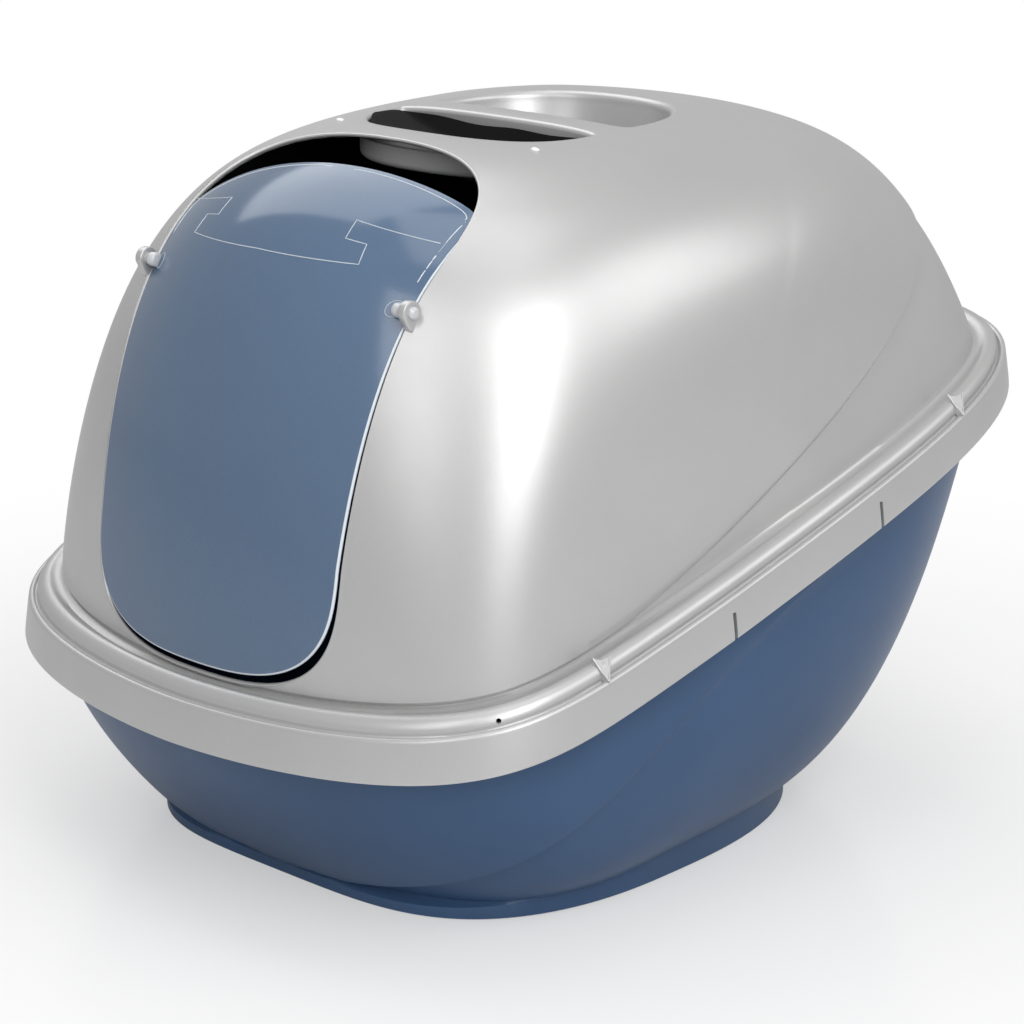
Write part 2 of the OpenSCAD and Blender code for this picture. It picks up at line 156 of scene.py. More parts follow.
def rim_h(y):
    """Height of the skirt's lower edge."""
    front_slope = (RIM_Z - RIM_FRONT_Z) / SKIRT_FRONT
    back_slope = (RIM_BACK_Z - RIM_Z) / SKIRT_BACK
    curve = (back_slope - front_slope) / (SKIRT_FRONT + SKIRT_BACK)
    s = y - MID_Y
    return RIM_Z + s * (front_slope + curve * (SKIRT_FRONT + s))


def front_dip(points):
    """Dip of the dome's foot below its height elsewhere."""
    across = np.clip(1 - (points[:, 0] / DIP_WIDE) ** 2, 0, None)
    return FRONT_DIP * across * smooth(-points[:, 1], DIP_FROM, DIP_FULL)


def rim_ring(d, lift, dip=0.0):
    """A ring along the rim: inset from the skirt, lifted over its lower edge, with a share of the dip."""
    ring = inset(OUTLINE, d)
    return np.column_stack([ring, rim_h(ring[:, 1]) + lift - dip * front_dip(ring)])


def swell(t, n, m):
    """Share of a half length that is left at height share t."""
    return np.clip(1 - t ** n, 0, None) ** (1 / m)


def dome(t, wall):
    """Points of the dome at the height shares t, one row for each ring."""
    base = inset(OUTLINE, DOME_IN + wall)
    x, s = base[:, 0], base[:, 1] - MID_Y
    ahead = s < 0
    w0, f0, b0 = x.max(), -s.min(), s.max()
    e = np.stack([x / w0, s / np.where(ahead, f0, b0)], axis=-1)
    circle = e / np.linalg.norm(e, axis=-1, keepdims=True)
    u = e + (circle - e) * (t ** np.where(ahead, 1.2, 1.1))[..., None]
    wide = w0 * swell(t, *DOME_WIDE)
    front = ROOF_BACK - (f0 + ROOF_BACK) * swell(t, *DOME_FRONT)
    back = ROOF_BACK + (b0 - ROOF_BACK) * swell(t, *DOME_BACK)
    mid = ROOF_BACK * t ** 1.33
    foot = rim_h(base[:, 1]) + DOME_LIFT - wall - front_dip(base)
    y = MID_Y + mid + u[..., 1] * np.where(ahead, mid - front, back - mid)
    return np.stack([wide * u[..., 0], y, foot + (HOOD_TOP - wall - foot) * t], axis=-1)


def dome_pole(wall):
    """The dome's highest point, on the face wall mm inside the outer one."""
    return np.array([0, MID_Y + ROOF_BACK, HOOD_TOP - wall])


def even_rows(first, last, count):
    """Height shares for rings spaced evenly in angle from first to last."""
    k = np.linspace(0, 1, count)[:, None]
    a0, a1 = np.arcsin(np.broadcast_to(first, N)), np.arcsin(np.broadcast_to(last, N))
    return np.sin(a0 + (a1 - a0) * k)


def foot_ring(d, z_front, z_back, front_square=(BOWL_SQUARE, BOWL_SQUARE)):
    """The foot's outline grown by d, at the given heights in front and at the back."""
    rim = inset(OUTLINE, PAN_IN)
    s = rim[:, 1] - MID_Y
    ahead = s < 0
    a = np.arctan2(s / np.where(ahead, SKIRT_FRONT, SKIRT_BACK), rim[:, 0] / (SKIRT_W / 2))
    across, along = [np.where(ahead, square, BOWL_SQUARE) for square in front_square]
    e = square_circle(a, across, along)
    y = MID_Y + FOOT_MID + e[:, 1] * (np.where(ahead, FOOT_FRONT, FOOT_BACK) + d)
    return np.column_stack([e[:, 0] * (FOOT_W + d), y, z_front + (z_back - z_front) * (1 + e[:, 1]) / 2])


def bowl(t, wall):
    """Points of the pan's bowl at the depth shares t, one row for each ring."""
    rim = rim_ring(PAN_IN + wall, 0)
    foot = foot_ring(-wall, FOOT_Z_FRONT + wall, FOOT_Z_BACK + wall)
    x, s = rim[:, 0], rim[:, 1] - MID_Y
    ahead = s < 0
    w0, f0, b0 = x.max(), -s.min(), s.max()
    w1, f1, b1 = FOOT_W - wall, FOOT_FRONT - FOOT_MID - wall, FOOT_BACK + FOOT_MID - wall
    e = np.stack([x / w0, s / np.where(ahead, f0, b0)], axis=-1)
    g_long = np.where(ahead, FOOT_FRONT, FOOT_BACK) - wall
    g = np.stack([foot[:, 0] / w1, (foot[:, 1] - MID_Y - FOOT_MID) / g_long], axis=-1)
    u = e + (g - e) * (t ** 0.82)[..., None]
    m = FOOT_MID * t
    wide = w1 + (w0 - w1) * swell(t, *BOWL_WIDE)
    front = f1 + (f0 - f1) * swell(t, *BOWL_FRONT)
    back = b1 + (b0 - b1) * swell(t, *BOWL_BACK)
    y = MID_Y + m + u[..., 1] * np.where(ahead, m + front, back - m)
    return np.stack([wide * u[..., 0], y, rim[:, 2] + (foot[:, 2] - rim[:, 2]) * t], axis=-1)


def arc(x, z, r, start, stop, count):
    """Points of an arc as (inset, lift) pairs, angles in degrees."""
    return [(x + r * math.cos(math.radians(a)), z + r * math.sin(math.radians(a)))
            for a in np.linspace(start, stop, count)]


# Mesh helpers

def deselect():
    """Deselects everything."""
    bpy.ops.object.select_all(action="DESELECT")


def pick(obj):
    """Makes one object the only selected one, and the active one."""
    deselect()
    obj.select_set(True)
    bpy.context.view_layer.objects.active = obj


def new_object(name, points, faces):
    """An object from points in millimetres, with its normals outward."""
    mesh = bpy.data.meshes.new(name)
    mesh.from_pydata((np.asarray(points) * MM).tolist(), [], faces)
    bm = bmesh.new()
    bm.from_mesh(mesh)
    bmesh.ops.recalc_face_normals(bm, faces=bm.faces)
    bm.to_mesh(mesh)
    bm.free()
    obj = bpy.data.objects.new(name, mesh)
    bpy.context.scene.collection.objects.link(obj)
    return obj


def ring_faces(m, n):
    """Faces between m rings of n points each."""
    return [(r * n + i, r * n + (i + 1) % n, (r + 1) * n + (i + 1) % n, (r + 1) * n + i)
            for r in range(m - 1) for i in range(n)]


def loft(name, rows, first=None, last=None):
    """A closed skin through rings of equal length, ended by a pole or a flat cap."""
    rows = np.asarray(rows)
    m, n = rows.shape[:2]
    points = list(rows.reshape(-1, 3))
    faces = ring_faces(m, n)
    for pole, r in ((first, 0), (last, m - 1)):
        ring = [r * n + i for i in range(n)]
        if pole is None:
            faces.append(tuple(ring))
            continue
        points.append(np.asarray(pole, float))
        faces += [(ring[i], ring[(i + 1) % n], len(points) - 1) for i in range(n)]
    return new_object(name, points, faces)


def prism(name, outline, direction, low, high):
    """A plan outline (x, second) extruded along y or z from low to high."""
    rows = []
    for level in (low, high):
        rows.append([(x, level, s) if direction == "y" else (x, s, level) for x, s in outline])
    return loft(name, rows)


def combine(obj, tool, operation):
    """Applies a boolean of obj with tool, and removes the tool."""
    pick(obj)
    step = obj.modifiers.new(operation.lower(), "BOOLEAN")
    step.operation, step.object, step.solver = operation, tool, "MANIFOLD"
    bpy.ops.object.modifier_apply(modifier=step.name)
    bpy.data.objects.remove(tool, do_unlink=True)


def join(obj, others):
    """Joins others into obj."""
    pick(obj)
    for other in others:
        other.select_set(True)
    bpy.ops.object.join()


def tube(name, path, radius, closed=False):
    """A round bead along a path, made as a bevelled curve and turned into a mesh."""
    curve = bpy.data.curves.new(name, "CURVE")
    curve.dimensions, curve.bevel_depth, curve.bevel_resolution = "3D", radius * MM, 3
    curve.use_fill_caps = not closed
    spline = curve.splines.new("POLY")
    spline.points.add(len(path) - 1)
    for point, place in zip(spline.points, path):
        point.co = (*(np.asarray(place) * MM), 1)
    spline.use_cyclic_u = closed
    obj = bpy.data.objects.new(name, curve)
    bpy.context.scene.collection.objects.link(obj)
    pick(obj)
    bpy.ops.object.convert(target="MESH")
    return bpy.context.view_layer.objects.active


def even_path(points, spacing, closed=False):
    """The path through points, with points spaced evenly."""
    p = np.asarray(points, float)
    if closed:
        p = np.vstack([p, p[:1]])
    along = np.r_[0, np.cumsum(np.linalg.norm(np.diff(p, axis=0), axis=1))]
    count = max(3, int(along[-1] / spacing))
    where = np.linspace(0, along[-1], count, endpoint=not closed)
    return np.stack([np.interp(where, along, p[:, k]) for k in range(3)], axis=-1)


def surface_tree(wall):
    """Search tree of the dome's face that lies wall mm inside the outer one."""
    rows = dome(even_rows(0, 0.9999, 120), wall)
    m = len(rows)
    faces = ring_faces(m, N) + [((m - 1) * N + i, (m - 1) * N + (i + 1) % N, m * N) for i in range(N)]
    return BVHTree.FromPolygons(rows.reshape(-1, 3).tolist() + [dome_pole(wall).tolist()], faces)


def from_front(tree, x, z):
    """Where a line along y first meets the surface, or None."""
    hit = tree.ray_cast(Vector((x, -500, z)), Vector((0, 1, 0)))[0]
    return None if hit is None else np.array(hit)


def from_above(tree, x, y):
    """Where a line down first meets the surface, or None."""
    hit = tree.ray_cast(Vector((x, y, 600)), Vector((0, 0, -1)))[0]
    return None if hit is None else np.array(hit)


def soften(obj, width, segments):
    """Rounds the sharp edges of an object."""
    pick(obj)
    soft = obj.modifiers.new("soft", "BEVEL")
    soft.width, soft.segments, soft.limit_method = width * MM, segments, "ANGLE"
    bpy.ops.object.modifier_apply(modifier=soft.name)


def set_smooth(obj, degrees=32):
    """Shades an object smooth, but for edges sharper than the angle."""
    pick(obj)
    bpy.ops.object.shade_smooth_by_angle(angle=math.radians(degrees))


# The way in, and with its own gaps, corners and slant the flap's outline

def door_wide(z, gap):
    """Half width of the way in at a height."""
    return DOOR_W - gap + DOOR_FLARE * (z - DOOR_Z - DOOR_CORNER) / (HINGE[2] - DOOR_Z - DOOR_CORNER)


def door_front_outline(gap, gap_low, top, corner):
    """The way in seen from the front."""
    low, deep = DOOR_Z + gap_low, DOOR_CORNER - gap_low
    e = square_circle(np.radians(np.linspace(180, 360, 97)), corner, corner)
    low_part = [(x * (DOOR_W - gap), low + deep + z * deep) for x, z in e]
    return low_part + [(door_wide(top, gap), top), (-door_wide(top, gap), top)]


def door_plan_outline(gap, back, square, slant=0.0):
    """The way in seen from above, its back edge turned by the slant."""
    e = square_circle(np.radians(np.linspace(0, 180, 97)), square, square)
    wide, length = HINGE_X + 1 - gap, DOOR_ROUND - (back - DOOR_BACK)
    top_part = [(x * wide, -DOOR_BACK - DOOR_ROUND + y * length + slant * x * wide) for x, y in e]
    return top_part + [(-wide, -SKIRT_FRONT - 200), (wide, -SKIRT_FRONT - 200)]


def door_solid(gap, gap_low, back, square=DOOR_SQUARE, corner=DOOR_CORNER_SQUARE, slant=0.0):
    """The way in as a solid to cut with, or to keep the flap's part of the dome."""
    solid = prism("way_in", door_front_outline(gap, gap_low, HOOD_TOP + 20, corner), "y", -500, -60)
    plan = prism("way_in_plan", door_plan_outline(gap, back, square, slant), "z", 0, HOOD_TOP + 30)
    combine(solid, plan, "INTERSECT")
    return solid


def door_path(tree, gap, gap_low, back, square=DOOR_SQUARE, corner=DOOR_CORNER_SQUARE, slant=0.0):
    """The way in's edge on the dome, as a closed path."""
    low, deep = DOOR_Z + gap_low, DOOR_CORNER - gap_low
    wide, length, centre = HINGE_X + 1 - gap, DOOR_ROUND - (back - DOOR_BACK), -DOOR_BACK - DOOR_ROUND
    halves = []
    for side in (1, -1):
        half = [from_front(tree, side * x * (DOOR_W - gap), low + deep + z * deep)
                for x, z in square_circle(np.radians(np.linspace(270, 360, 60)), corner, corner)]
        for z in np.arange(low + deep + 3, HOOD_TOP, 3):
            p = from_front(tree, side * door_wide(z, gap), z)
            if p is None:
                break
            y = p[1] - slant * p[0]
            if y > centre and (abs(p[0]) / wide) ** square + ((y - centre) / length) ** square > 1:
                break
            half.append(p)
        for x, y in square_circle(np.radians(np.linspace(0, 90, 90)), square, square):
            p = from_above(tree, side * x * wide, centre + y * length + slant * side * x * wide)
            if p is not None and p[2] > half[-1][2] + 0.5 and abs(p[0]) < door_wide(p[2], gap):
                half.append(p)
        halves.append([p for p in half if p is not None])
    return even_path(np.vstack([halves[0], halves[1][::-1]]), 3.0, closed=True)


# Hood

def step_share():
    """Height share at which the hood's step runs, for each ring point, and how much of it is left."""
    base = inset(OUTLINE, DOME_IN)
    y = base[:, 1]
    share = STEP_LOW + STEP_RISE * (np.clip(y - STEP_START, 0, None) / 100) ** 1.7
    share = share + 0.1 * smooth(y, 215, 242)
    left = np.where(y > 200, smooth(np.abs(base[:, 0]), 150, 205), 1.0)
    return share, left


def hood_rows():
    """Rings of the hood's outer face, from the roof down to the skirt's lower edge."""
    share, left = step_share()
    edge = 0.009
    low, high = np.maximum(share - edge, 0.002), share + 0.001
    t = np.vstack([even_rows(0, low, 22)[:-1], low + (high - low) * np.linspace(0, 1, 6)[:, None],
                   even_rows(high, 0.9995, 72)[1:]])
    below = 1 - smooth(t, low, high)
    deep = left * below * np.exp(-((share - t).clip(0) / STEP_FADE) ** 2)
    rows = dome(t, 0) + (dome(t, STEP_DEEP) - dome(t, 0)) * deep[..., None]
    foot = STEP_DEEP * deep[0]
    profile = [(0.9, 0), (0.4, 0.2), (0.16, 0.7), (0.2, 1.6), (1.0, 8), (2.0, 15)]
    profile += arc(SKIRT_DRAFT + 2, SKIRT_H - 2, 2, 180, 40, 8)
    profile += [(7.0, 22.3), (7.6, 22.15), (8.1, 22.4)]
    profile += arc(BEAD_IN, BEAD_Z, BEAD_R, 192, 62, 14)
    rim = [rim_ring(d, z, smooth(d, 14, 22)) for d, z in profile]
    behind_bead = ((19.6, 29.9, 0.4), (21.3, 30.1, 1), (22.6, 31.0, 1))
    rim += [rim_ring(d + foot * step, z, 1) for d, z, step in behind_bead]
    return np.concatenate([rows[::-1], np.array(rim)[::-1]])


def hood_inner_rows():
    """Rings of the hood's inner face, from the skirt's lower edge up to the roof."""
    profile = [(2.0, 0), (2.4, 0.4), (SKIRT_DRAFT + HOOD_WALL, SKIRT_H - HOOD_WALL - 1)]
    profile += [(SKIRT_DRAFT + HOOD_WALL + 1, SKIRT_H - HOOD_WALL - 0.4), (10.8, SKIRT_H - HOOD_WALL - 0.4)]
    profile += arc(BEAD_IN, BEAD_Z, BEAD_R - HOOD_WALL, 180, 90, 5)
    return np.concatenate([np.array([rim_ring(d, z, smooth(d, 9, 12)) for d, z in profile]),
                           dome(even_rows(0, 0.9995, 40), HOOD_WALL)])


def d_outline(wide, long, front):
    """D-shaped outline round (0, 0): long towards +y, and a rounded straight side at y = -front."""
    count = 128
    a = 2 * np.pi * (np.arange(count) + 0.5) / count
    back = np.sin(a) > 0
    e = square_circle(a, np.where(back, 2.3, 9.0), np.where(back, 2.3, 2.6))
    return np.stack([e[:, 0] * wide, e[:, 1] * np.where(back, long, front)], axis=-1)


def sink(name, tree, centre_y, facing, wide, long, lip, profile):
    """A cutter for a hole in the roof, from (outset, depth, front outset) rings that follow the roof."""
    rows = []
    for out, depth, front in profile:
        ring = d_outline(wide + out, long + out, lip + front) * (1, facing) + (0, centre_y)
        z = np.array([from_above(tree, x, y)[2] for x, y in ring])
        level = smooth(depth, 8, 20)
        rows.append(np.column_stack([ring, z * (1 - level) + (HOOD_TOP - 1.5) * level - depth]))
    return loft(name, rows)


def lip_profile(radius):
    """Rounded lip of a hole: a quarter circle that runs out over the roof."""
    slope = 22
    rings = [(radius * (1 - math.sin(math.radians(a))), radius * (1 - math.cos(math.radians(a))))
             for a in np.linspace(slope, 90, 8)]
    up = 2.4
    first = (rings[0][0] + up / math.tan(math.radians(slope)), rings[0][1] - up)
    return [(out, depth, out) for out, depth in [(first[0], -20), first] + rings]


def lug(side):
    """Lug that holds a hinge pin: round above, drawn down to a point, with soft edges."""
    a = np.radians(np.linspace(-14, 194, 28))
    outline = [(LUG_R * math.cos(v), LUG_R * math.sin(v)) for v in a]
    point = ((-0.62, -0.95), (-0.12, -1.66), (0.12, -1.66), (0.62, -0.95))
    outline += [(LUG_R * y, LUG_R * z) for y, z in point]
    rows = [[(HINGE_X + x, HINGE[1] + y, HINGE[2] + z) for y, z in outline] for x in (0, LUG_T)]
    obj = loft("lug", np.array(rows) * (side, 1, 1))
    soften(obj, 0.9, 3)
    return obj


def cylinder_x(x0, x1, y, z, radius):
    """A round bar along x."""
    bpy.ops.mesh.primitive_cylinder_add(vertices=48, radius=radius * MM, depth=abs(x1 - x0) * MM,
                                        location=((x0 + x1) / 2 * MM, y * MM, z * MM),
                                        rotation=(0, math.pi / 2, 0))
    obj = bpy.context.active_object
    bpy.ops.object.transform_apply(location=True, rotation=True, scale=True)
    return obj


def block(centre, size):
    """A box, its place in its mesh."""
    bpy.ops.mesh.primitive_cube_add(size=1, location=[c * MM for c in centre])
    obj = bpy.context.active_object
    obj.scale = [s * MM for s in size]
    bpy.ops.object.transform_apply(location=True, rotation=True, scale=True)
    return obj


def skirt_x(y):
    """Half width of the skirt at a distance y from the origin."""
    half = OUTLINE[OUTLINE[:, 0] > 100]
    half = half[np.argsort(half[:, 1])]
    return float(np.interp(y, half[:, 1], half[:, 0]))


def gusset(side, y):
    """Hollowed web in a V, from a point on the ridge to the bead's top."""
    x, z = skirt_x(y), rim_h(y)
    slope = (rim_h(y + WEB_LONG) - z) / WEB_LONG
    tip = np.array([x - 3.0, y, z + SKIRT_H + 0.3])
    square_arm = np.array([x - BEAD_IN + 0.5, y - 0.5, z + DOME_LIFT + 1.0])
    back_arm = np.array([x - 11.0, y + WEB_LONG, z + WEB_LONG * slope + DOME_LIFT - 2.0])
    hollow = (square_arm + back_arm) / 2 - (0, 0, 1.6)
    arms = []
    for end in (square_arm, back_arm):
        sagging = even_path([end, end * 0.5 + tip * 0.5 - (0, 0, 0.8), tip], 1.5)
        arms.append(tube("arm", sagging * (side, 1, 1), 0.55))
    top = [tip - (0, 0, 0.2), back_arm - (0, 0, 0.2), hollow, square_arm - (0, 0, 0.2)]
    web = loft("web", np.array([top, [p - (0, 0, 5.0) for p in top]]) * (side, 1, 1))
    join(web, arms)
    return web


def make_hood():
    """The hood with its lugs, webs, recesses and rolled door edge, and the white nubs on its roof."""
    outer_tree, mid_tree = surface_tree(0.0), surface_tree(HOOD_WALL / 2)
    rows = np.concatenate([hood_rows(), hood_inner_rows()])
    hood = loft("hood_shell", rows, dome_pole(0), dome_pole(HOOD_WALL))
    well_centre, well_size = BAR_BACK + WELL_OFF, (RECESS_W - 2, WELL_L - WELL_OFF, WELL_OFF)
    recess_centre, recess_size = BAR_FRONT - RECESS_OFF, (RECESS_W, RECESS_L - RECESS_OFF, RECESS_OFF)
    # The wells' bodies, under the roof
    body = [(HOOD_WALL, 1.2, HOOD_WALL), (HOOD_WALL, COLLAR_H, HOOD_WALL)]
    collar = sink("collar", outer_tree, recess_centre, -1, *recess_size, body)
    under = WELL_UNDER + HOOD_WALL
    body = [(HOOD_WALL, 1.2, HOOD_WALL), (HOOD_WALL, 9, HOOD_WALL), (HOOD_WALL, 9.5, under)]
    body += [(HOOD_WALL - 2, 26, under), (-8, 40, under - 6), (-20, WELL_D + HOOD_WALL, under - 14)]
    bowl_body = sink("well_body", outer_tree, well_centre, 1, *well_size, body)
    for piece in (collar, bowl_body):
        combine(hood, piece, "UNION")
    extras = []
    for side in (-1, 1):
        extras.append(lug(side))
        for y in WEB_Y:
            extras.append(gusset(side, y))
    # The holes
    combine(hood, door_solid(-DOOR_EASE, -DOOR_EASE, DOOR_BACK - DOOR_EASE), "DIFFERENCE")
    profile = lip_profile(3.0) + [(0, COLLAR_H + 8, 0)]
    combine(hood, sink("recess", outer_tree, recess_centre, -1, *recess_size, profile), "DIFFERENCE")
    profile = lip_profile(4.5) + [(-0.6, 8, -0.6), (-0.8, 8.8, WELL_UNDER), (-3, 22, WELL_UNDER)]
    profile += [(-7, 31, WELL_UNDER - 3), (-14, 38, WELL_UNDER - 8), (-26, WELL_D, WELL_UNDER - 18)]
    combine(hood, sink("well", outer_tree, well_centre, 1, *well_size, profile), "DIFFERENCE")
    for side in (-1, 1):
        for y in SLIT_Y:
            slit = block((side * (skirt_x(y) + 1), y, rim_h(y) + 2), SLIT_SIZE)
            combine(hood, slit, "DIFFERENCE")
        place = np.array(DRAIN_PLACE) * (side, 1, 1) * MM
        bpy.ops.mesh.primitive_cylinder_add(vertices=24, radius=DRAIN_R * MM, depth=DRAIN_L * MM,
                                            location=place,
                                            rotation=(math.pi / 2, 0, side * math.radians(DRAIN_TURN)))
        combine(hood, bpy.context.active_object, "DIFFERENCE")
    edge_path = door_path(mid_tree, -DOOR_EASE, -DOOR_EASE, DOOR_BACK - DOOR_EASE)
    bead = tube("door_edge", edge_path, HOOD_WALL / 2 + 0.1, closed=True)
    nubs = []
    for side in (-1, 1):
        place = from_above(outer_tree, side * NUB_PLACE[0], NUB_PLACE[1]) * MM
        bpy.ops.mesh.primitive_uv_sphere_add(segments=24, ring_count=12, radius=1, location=place)
        nub = bpy.context.active_object
        nub.scale = [size * MM for size in NUB_SIZE]
        bpy.ops.object.transform_apply(location=True, rotation=True, scale=True)
        nubs.append(nub)
    join(hood, extras + [bead])
    set_smooth(hood)
    join(nubs[0], nubs[1:])
    nubs[0].name = "roof_nubs"
    set_smooth(nubs[0], 60)
    return hood, nubs[0]


def make_pan():
    """The pan: bowl, crease, foot ring and the lip below the hood's rim."""
    share = CREASE_HIGH + (1 - CREASE_HIGH) * smooth((24 - SIDE) / 107, 0, 1)
    left = (1 - smooth(SIDE, 18, 34)) * smooth(SIDE, -90, -60)
    share = np.clip(share, CREASE_HIGH, 0.97)
    edge = 0.012
    t = np.vstack([even_rows(0, share - edge, 28)[:-1],
                   share - edge + 2 * edge * np.linspace(0, 1, 7)[:, None],
                   even_rows(share + edge, 1, 28)[1:]])
    t = np.clip(t, 0, 1)
    below = smooth(t, share - edge, share + edge)
    deep = left * below * np.exp(-((t - share).clip(0) / CREASE_FADE) ** 2)
    outer = bowl(t, 0) + (bowl(t, CREASE_DEEP) - bowl(t, 0)) * deep[..., None]
    outer[-1] = bowl(np.ones((1, N)), 0)[0]
    foot = [foot_ring(-0.6, FOOT_Z_FRONT - 0.9, FOOT_Z_BACK - 1.5, FOOT_SQUARE),
            foot_ring(-0.9, 1.4, 1.4, FOOT_SQUARE), foot_ring(-1.3, 0.4, 0.4, FOOT_SQUARE),
            foot_ring(-2.2, 0, 0, FOOT_SQUARE)]
    lip_in, lip_top = SKIRT_DRAFT + HOOD_WALL + 0.7, SKIRT_H - HOOD_WALL - 0.8
    lip_back = PAN_IN + PAN_WALL
    lip = [(lip_back, lip_top - 4), (lip_back - 1, lip_top - 1), (lip_back - 3, lip_top), (lip_in, lip_top)]
    lip += [(lip_in, lip_top - 2.5), (PAN_IN - 3, lip_top - 3.5), (PAN_IN, lip_top - 6.5)]
    inner = bowl(even_rows(0, 1, 36), PAN_WALL)[::-1]
    floor = foot_ring(-FOOT_DRAFT - PAN_WALL, PAN_WALL, PAN_WALL)[None]
    rows = [floor, inner, np.array([rim_ring(d, z) for d, z in lip]), outer, np.array(foot)]
    pan = loft("pan", np.concatenate(rows), (0, MID_Y + FOOT_MID, PAN_WALL), (0, MID_Y + FOOT_MID, 0))
    set_smooth(pan, 30)
    return pan


def etched_line(tree):
    """The stepped line on the flap, as thin raised beads."""
    path = []
    for (x0, z0), (x1, z1) in zip(ETCHED_LINE, ETCHED_LINE[1:]):
        count = max(2, int(math.hypot(x1 - x0, z1 - z0) / 3))
        for k in range(count):
            path.append(from_front(tree, x0 + (x1 - x0) * k / count, z0 + (z1 - z0) * k / count))
    path = [p for p in path if p is not None and abs(p[0]) < door_wide(p[2], 3)]
    rings = []
    for side in (-1, 1):
        round_eye = []
        for a in np.radians(np.arange(0, 360, 15)):
            x, z = RING_X + RING_R * math.cos(a), HINGE[2] + RING_R * math.sin(a)
            round_eye.append(from_front(tree, side * x, z))
        rings.append(tube("etched_ring", [p for p in round_eye if p is not None], 0.16, closed=True))
    line = tube("etched_line", path, 0.28)
    join(line, rings)
    return line


def lean(obj, degrees):
    """Turns a piece about the hinge, its lower edge forward."""
    at = Matrix.Translation(Vector(HINGE * MM))
    obj.data.transform(at @ Matrix.Rotation(math.radians(-degrees), 4, "X") @ at.inverted())


def make_flap():
    """The flap, its rounded edge painted pale as a highlight, its etched line and its two hinge eyes."""
    low = np.array([0, MID_Y, RIM_Z - 60])
    rows = even_rows(0, 0.9995, 90)
    back = FLAP_SET + FLAP_T
    flap = loft("flap_shell", dome(rows, FLAP_SET)[::-1], dome_pole(FLAP_SET), low)
    behind = loft("flap_inside", dome(rows, back)[::-1], dome_pole(back), low - (0, 0, 30))
    combine(flap, behind, "DIFFERENCE")
    outline = (FLAP_GAP, FLAP_GAP_LOW, FLAP_BACK, FLAP_SQUARE, FLAP_CORNER_SQUARE, FLAP_SLANT)
    combine(flap, door_solid(*outline), "INTERSECT")
    mid_tree = surface_tree(FLAP_SET + FLAP_T / 2)
    edge = tube("flap_edge", door_path(mid_tree, *outline), FLAP_T / 2 + 0.05, closed=True)
    top_line = door_path(surface_tree(FLAP_SET), FLAP_GAP + 4, FLAP_GAP_LOW, FLAP_BACK + 3.2, FLAP_SQUARE,
                         FLAP_CORNER_SQUARE, FLAP_SLANT)
    top_line = top_line[top_line[:, 2] > 356]
    top_line = top_line[np.argsort(top_line[:, 0])]
    join(edge, [tube("flap_top_line", top_line, 0.3)])
    eyes = []
    for side in (-1, 1):
        end = HINGE_X - FLAP_GAP
        eye = cylinder_x(side * (end - EYE_L), side * end, HINGE[1], HINGE[2], EYE_D / 2)
        soften(eye, 1.4, 4)
        hole = cylinder_x(side * (end - EYE_L + 1.2), side * (end + 1), HINGE[1], HINGE[2], PIN_D / 2 + 0.06)
        combine(eye, hole, "DIFFERENCE")
        eyes.append(eye)
    join(eyes[0], eyes[1:])
    eyes[0].name = "flap_eyes"
    lines = etched_line(surface_tree(FLAP_SET))
    for piece in (flap, edge, lines):
        lean(piece, FLAP_LEAN)
    for piece, degrees in ((flap, 30), (edge, 40), (lines, 40), (eyes[0], 40)):
        set_smooth(piece, degrees)
    return flap, edge, lines, eyes[0]


def make_tray():
    """Tray under the front recess: rounded below, open above, with air slots in its floor."""
    fit = HOOD_WALL + 0.3
    top = COLLAR_Z + TRAY_LAP
    low = top - TRAY_H
    centre = np.array([0, BAR_FRONT - RECESS_OFF])

    def ring(grow, z):
        out = fit + grow
        plan = d_outline(RECESS_W + out, RECESS_L - RECESS_OFF + out, RECESS_OFF + out) * (1, -1) + centre
        return np.column_stack([plan, np.full(len(plan), z)])

    r = 4.5
    round_low = []
    for a in np.radians(np.linspace(0, 88, 8)):
        round_low.append(ring(TRAY_WALL - r * (1 - math.cos(a)), low + r * (1 - math.sin(a))))
    rows = [ring(0, low + 6), ring(0, top - 0.4), ring(0.4, top)]
    rows += [ring(TRAY_WALL - 0.4, top), ring(TRAY_WALL, top - 0.4)]
    inner = [ring(-2.4, low + TRAY_WALL), ring(-0.8, low + TRAY_WALL + 1)]
    tray = loft("tray", np.array(inner + rows + round_low), (*centre, low + TRAY_WALL), (*centre, low))
    pitch = 2 * (RECESS_W - TRAY_MARGIN) / TRAY_SLOTS
    for k in range(TRAY_SLOTS):
        x = (k - (TRAY_SLOTS - 1) / 2) * pitch
        long = RECESS_L * math.sqrt(1 - (x / RECESS_W) ** 2) - TRAY_MARGIN
        y0, y1 = BAR_FRONT - long, BAR_FRONT - TRAY_MARGIN / 2
        slot = block((x, (y0 + y1) / 2, low), (TRAY_SLOT_W, y1 - y0, 12))
        combine(tray, slot, "DIFFERENCE")
    set_smooth(tray, 40)
    return tray


